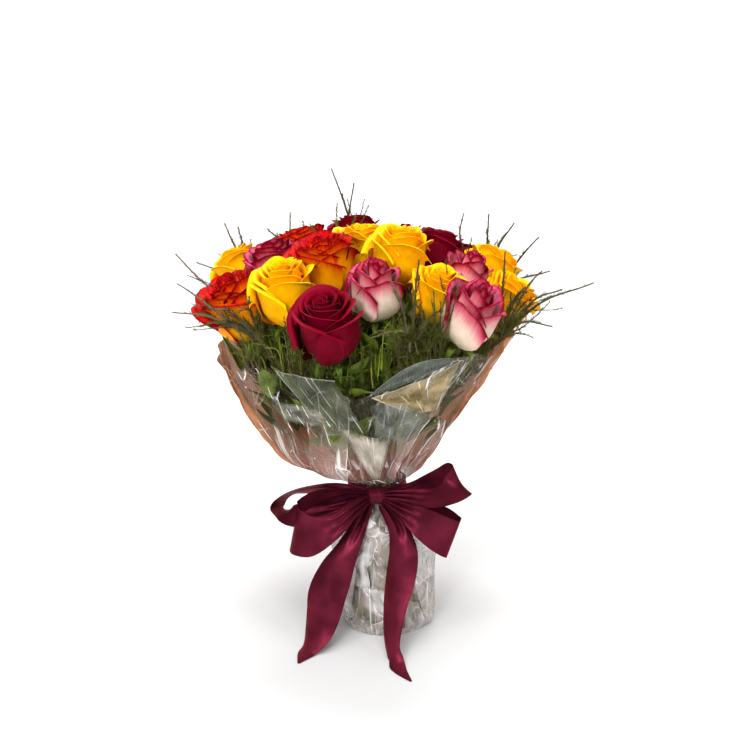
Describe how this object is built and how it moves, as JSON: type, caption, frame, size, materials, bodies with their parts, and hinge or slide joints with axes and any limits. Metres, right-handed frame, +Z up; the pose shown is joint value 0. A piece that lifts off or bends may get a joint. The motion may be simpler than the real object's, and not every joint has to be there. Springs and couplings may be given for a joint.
{
  "type": "rose bouquet",
  "caption": "Hand-tied spiral bouquet of roses with fern sprays, wrapped in clear film closed under the stems and tied with a wide satin bow.",
  "frame": {"origin": "centre of the flat foot of the film, on the surface that the bouquet stands on", "axes": "+Z up along the bound stems towards the heads; -Y is the front, where the bow is; +X is to the viewer's right"},
  "size_m": [0.358, 0.3062, 0.412],
  "materials": {
    "petal_yellow": "soft petal, satin sheen",
    "petal_red": "soft petal, velvety",
    "petal_burgundy": "soft petal, velvety",
    "petal_flame": "soft petal, yellow at the base and red at the lips",
    "petal_pink": "soft petal, cream at the base and crimson at the lips",
    "rose_green": "fresh stem and leaf, low gloss",
    "fern_green": "fine fresh foliage, matte",
    "clear_film": "clear crinkled film, high gloss",
    "satin_ribbon": "woven satin, soft sheen",
    "twine": "jute, matte"
  },
  "bodies": {
    "root": {"rose_01_bloom": "petal_flame", "rose_02_bloom": "petal_yellow", "rose_03_bloom": "petal_red", "rose_04_bloom": "petal_pink", "rose_05_bloom": "petal_pink", "rose_06_bloom": "petal_yellow", "rose_07_bloom": "petal_yellow", "rose_08_bloom": "petal_flame", "rose_09_bloom": "petal_yellow", "rose_10_bloom": "petal_yellow", "rose_11_bloom": "petal_burgundy", "rose_12_bloom": "petal_pink", "rose_13_bloom": "petal_yellow", "rose_14_bloom": "petal_flame", "rose_15_bloom": "petal_pink", "rose_16_bloom": "petal_yellow", "rose_17_bloom": "petal_pink", "rose_18_bloom": "petal_burgundy", "rose_19_bloom": "petal_red", "rose_20_bloom": "petal_yellow", "rose_21_bloom": "petal_pink", "rose_22_bloom": "petal_flame", "rose_01_stem": "rose_green", "rose_02_stem": "rose_green", "rose_03_stem": "rose_green", "rose_04_stem": "rose_green", "rose_05_stem": "rose_green", "rose_06_stem": "rose_green", "rose_07_stem": "rose_green", "rose_08_stem": "rose_green", "rose_09_stem": "rose_green", "rose_10_stem": "rose_green", "rose_11_stem": "rose_green", "rose_12_stem": "rose_green", "rose_13_stem": "rose_green", "rose_14_stem": "rose_green", "rose_15_stem": "rose_green", "rose_16_stem": "rose_green", "rose_17_stem": "rose_green", "rose_18_stem": "rose_green", "rose_19_stem": "rose_green", "rose_20_stem": "rose_green", "rose_21_stem": "rose_green", "rose_22_stem": "rose_green", "fern_spray_1": "fern_green", "fern_spray_2": "fern_green", "fern_spray_3": "fern_green", "fern_spray_4": "fern_green", "fern_spray_5": "fern_green", "fern_spray_6": "fern_green", "film_wrap": "clear_film", "binding_twine": "twine", "ribbon_band": "satin_ribbon", "ribbon_knot": "satin_ribbon", "ribbon_loop_left_back": "satin_ribbon", "ribbon_loop_left_front": "satin_ribbon", "ribbon_loop_right_upper": "satin_ribbon", "ribbon_loop_right_lower": "satin_ribbon", "ribbon_tail_left": "satin_ribbon", "ribbon_tail_right": "satin_ribbon"}
  },
  "joints": []
}
